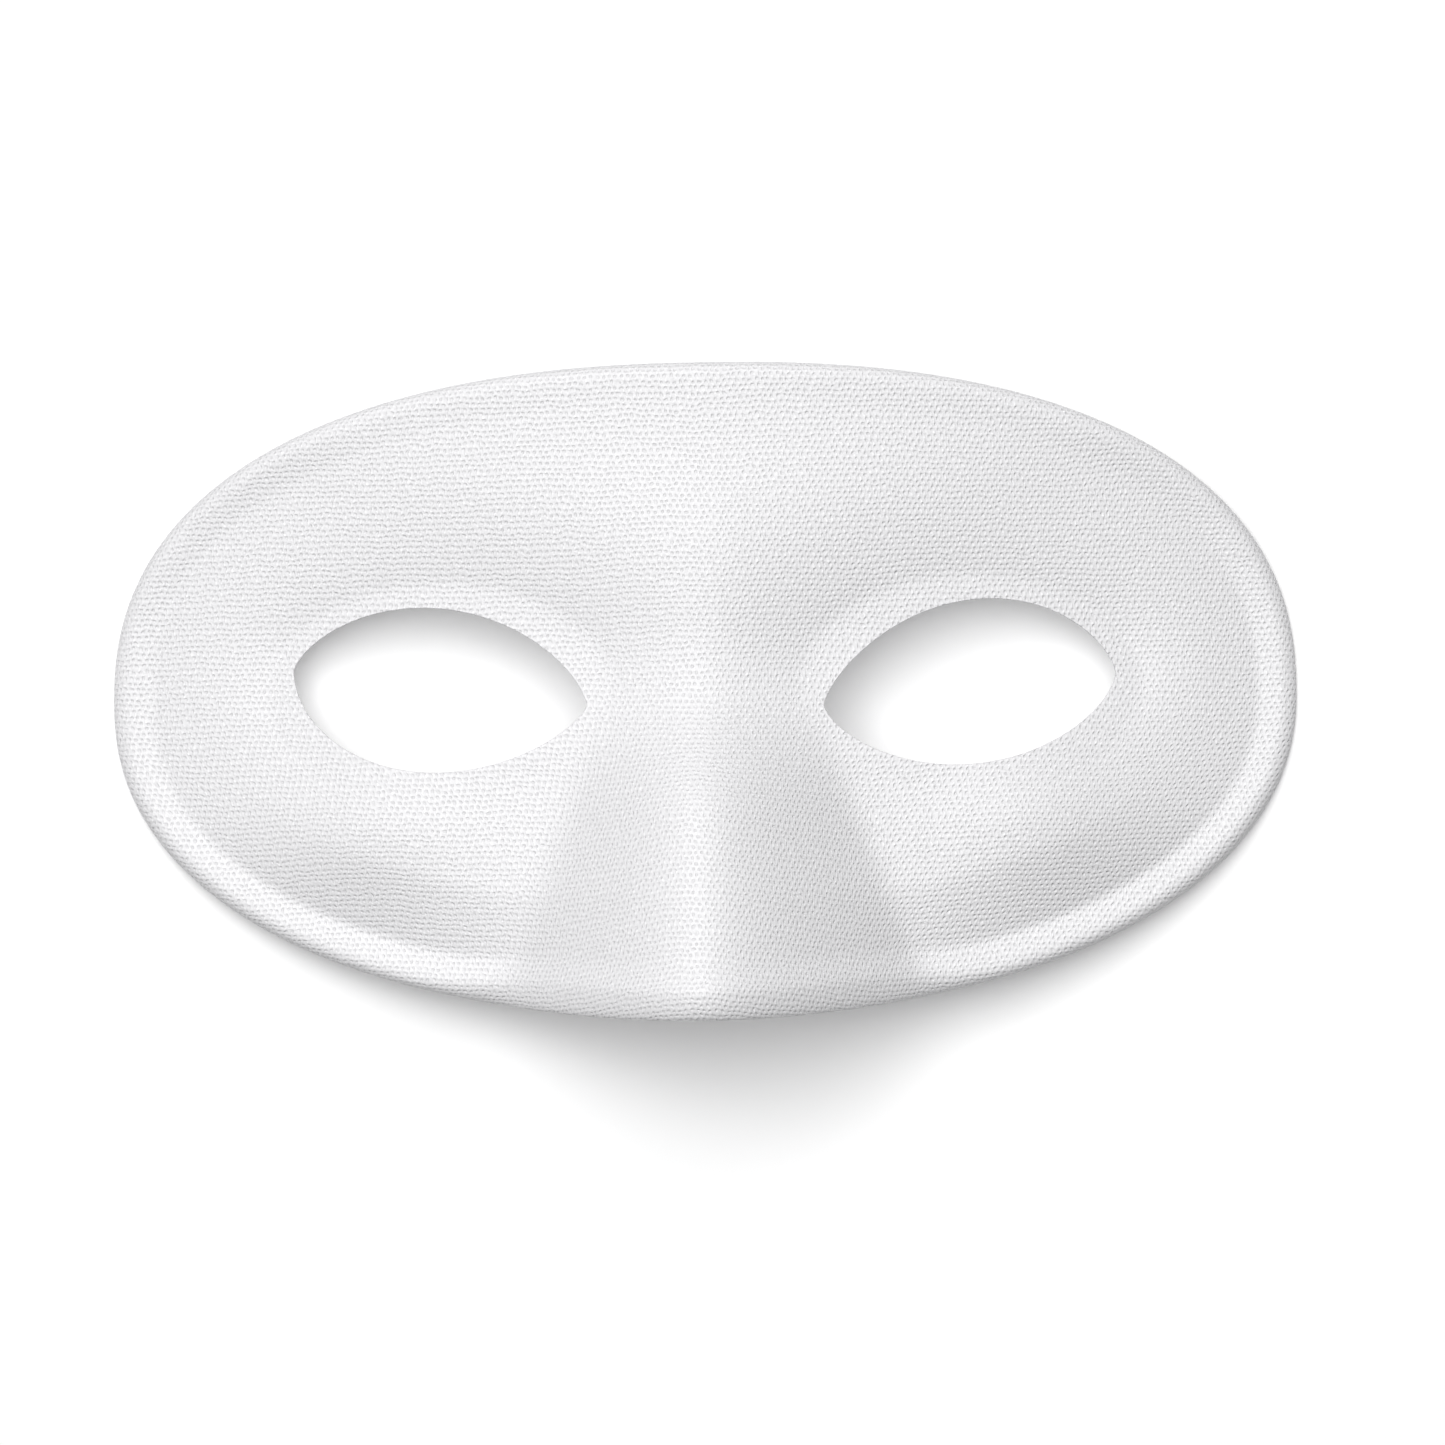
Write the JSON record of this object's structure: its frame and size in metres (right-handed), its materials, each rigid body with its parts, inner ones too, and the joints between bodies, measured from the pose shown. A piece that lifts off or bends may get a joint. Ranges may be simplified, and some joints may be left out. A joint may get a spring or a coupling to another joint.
{
  "type": "masquerade half mask",
  "caption": "Plain white half mask with two almond eye holes, a moulded nose pocket and a rolled rim, lying face up.",
  "frame": {"origin": "centre of the outline, on the surface the mask lies on", "axes": "+X across the face, +Y towards the forehead, +Z out of the face and up"},
  "size_m": [0.17, 0.093, 0.0406],
  "materials": {
    "white_cloth": "plain weave with a soft sheen"
  },
  "bodies": {
    "root": {"mask_shell": "white_cloth"}
  },
  "joints": []
}
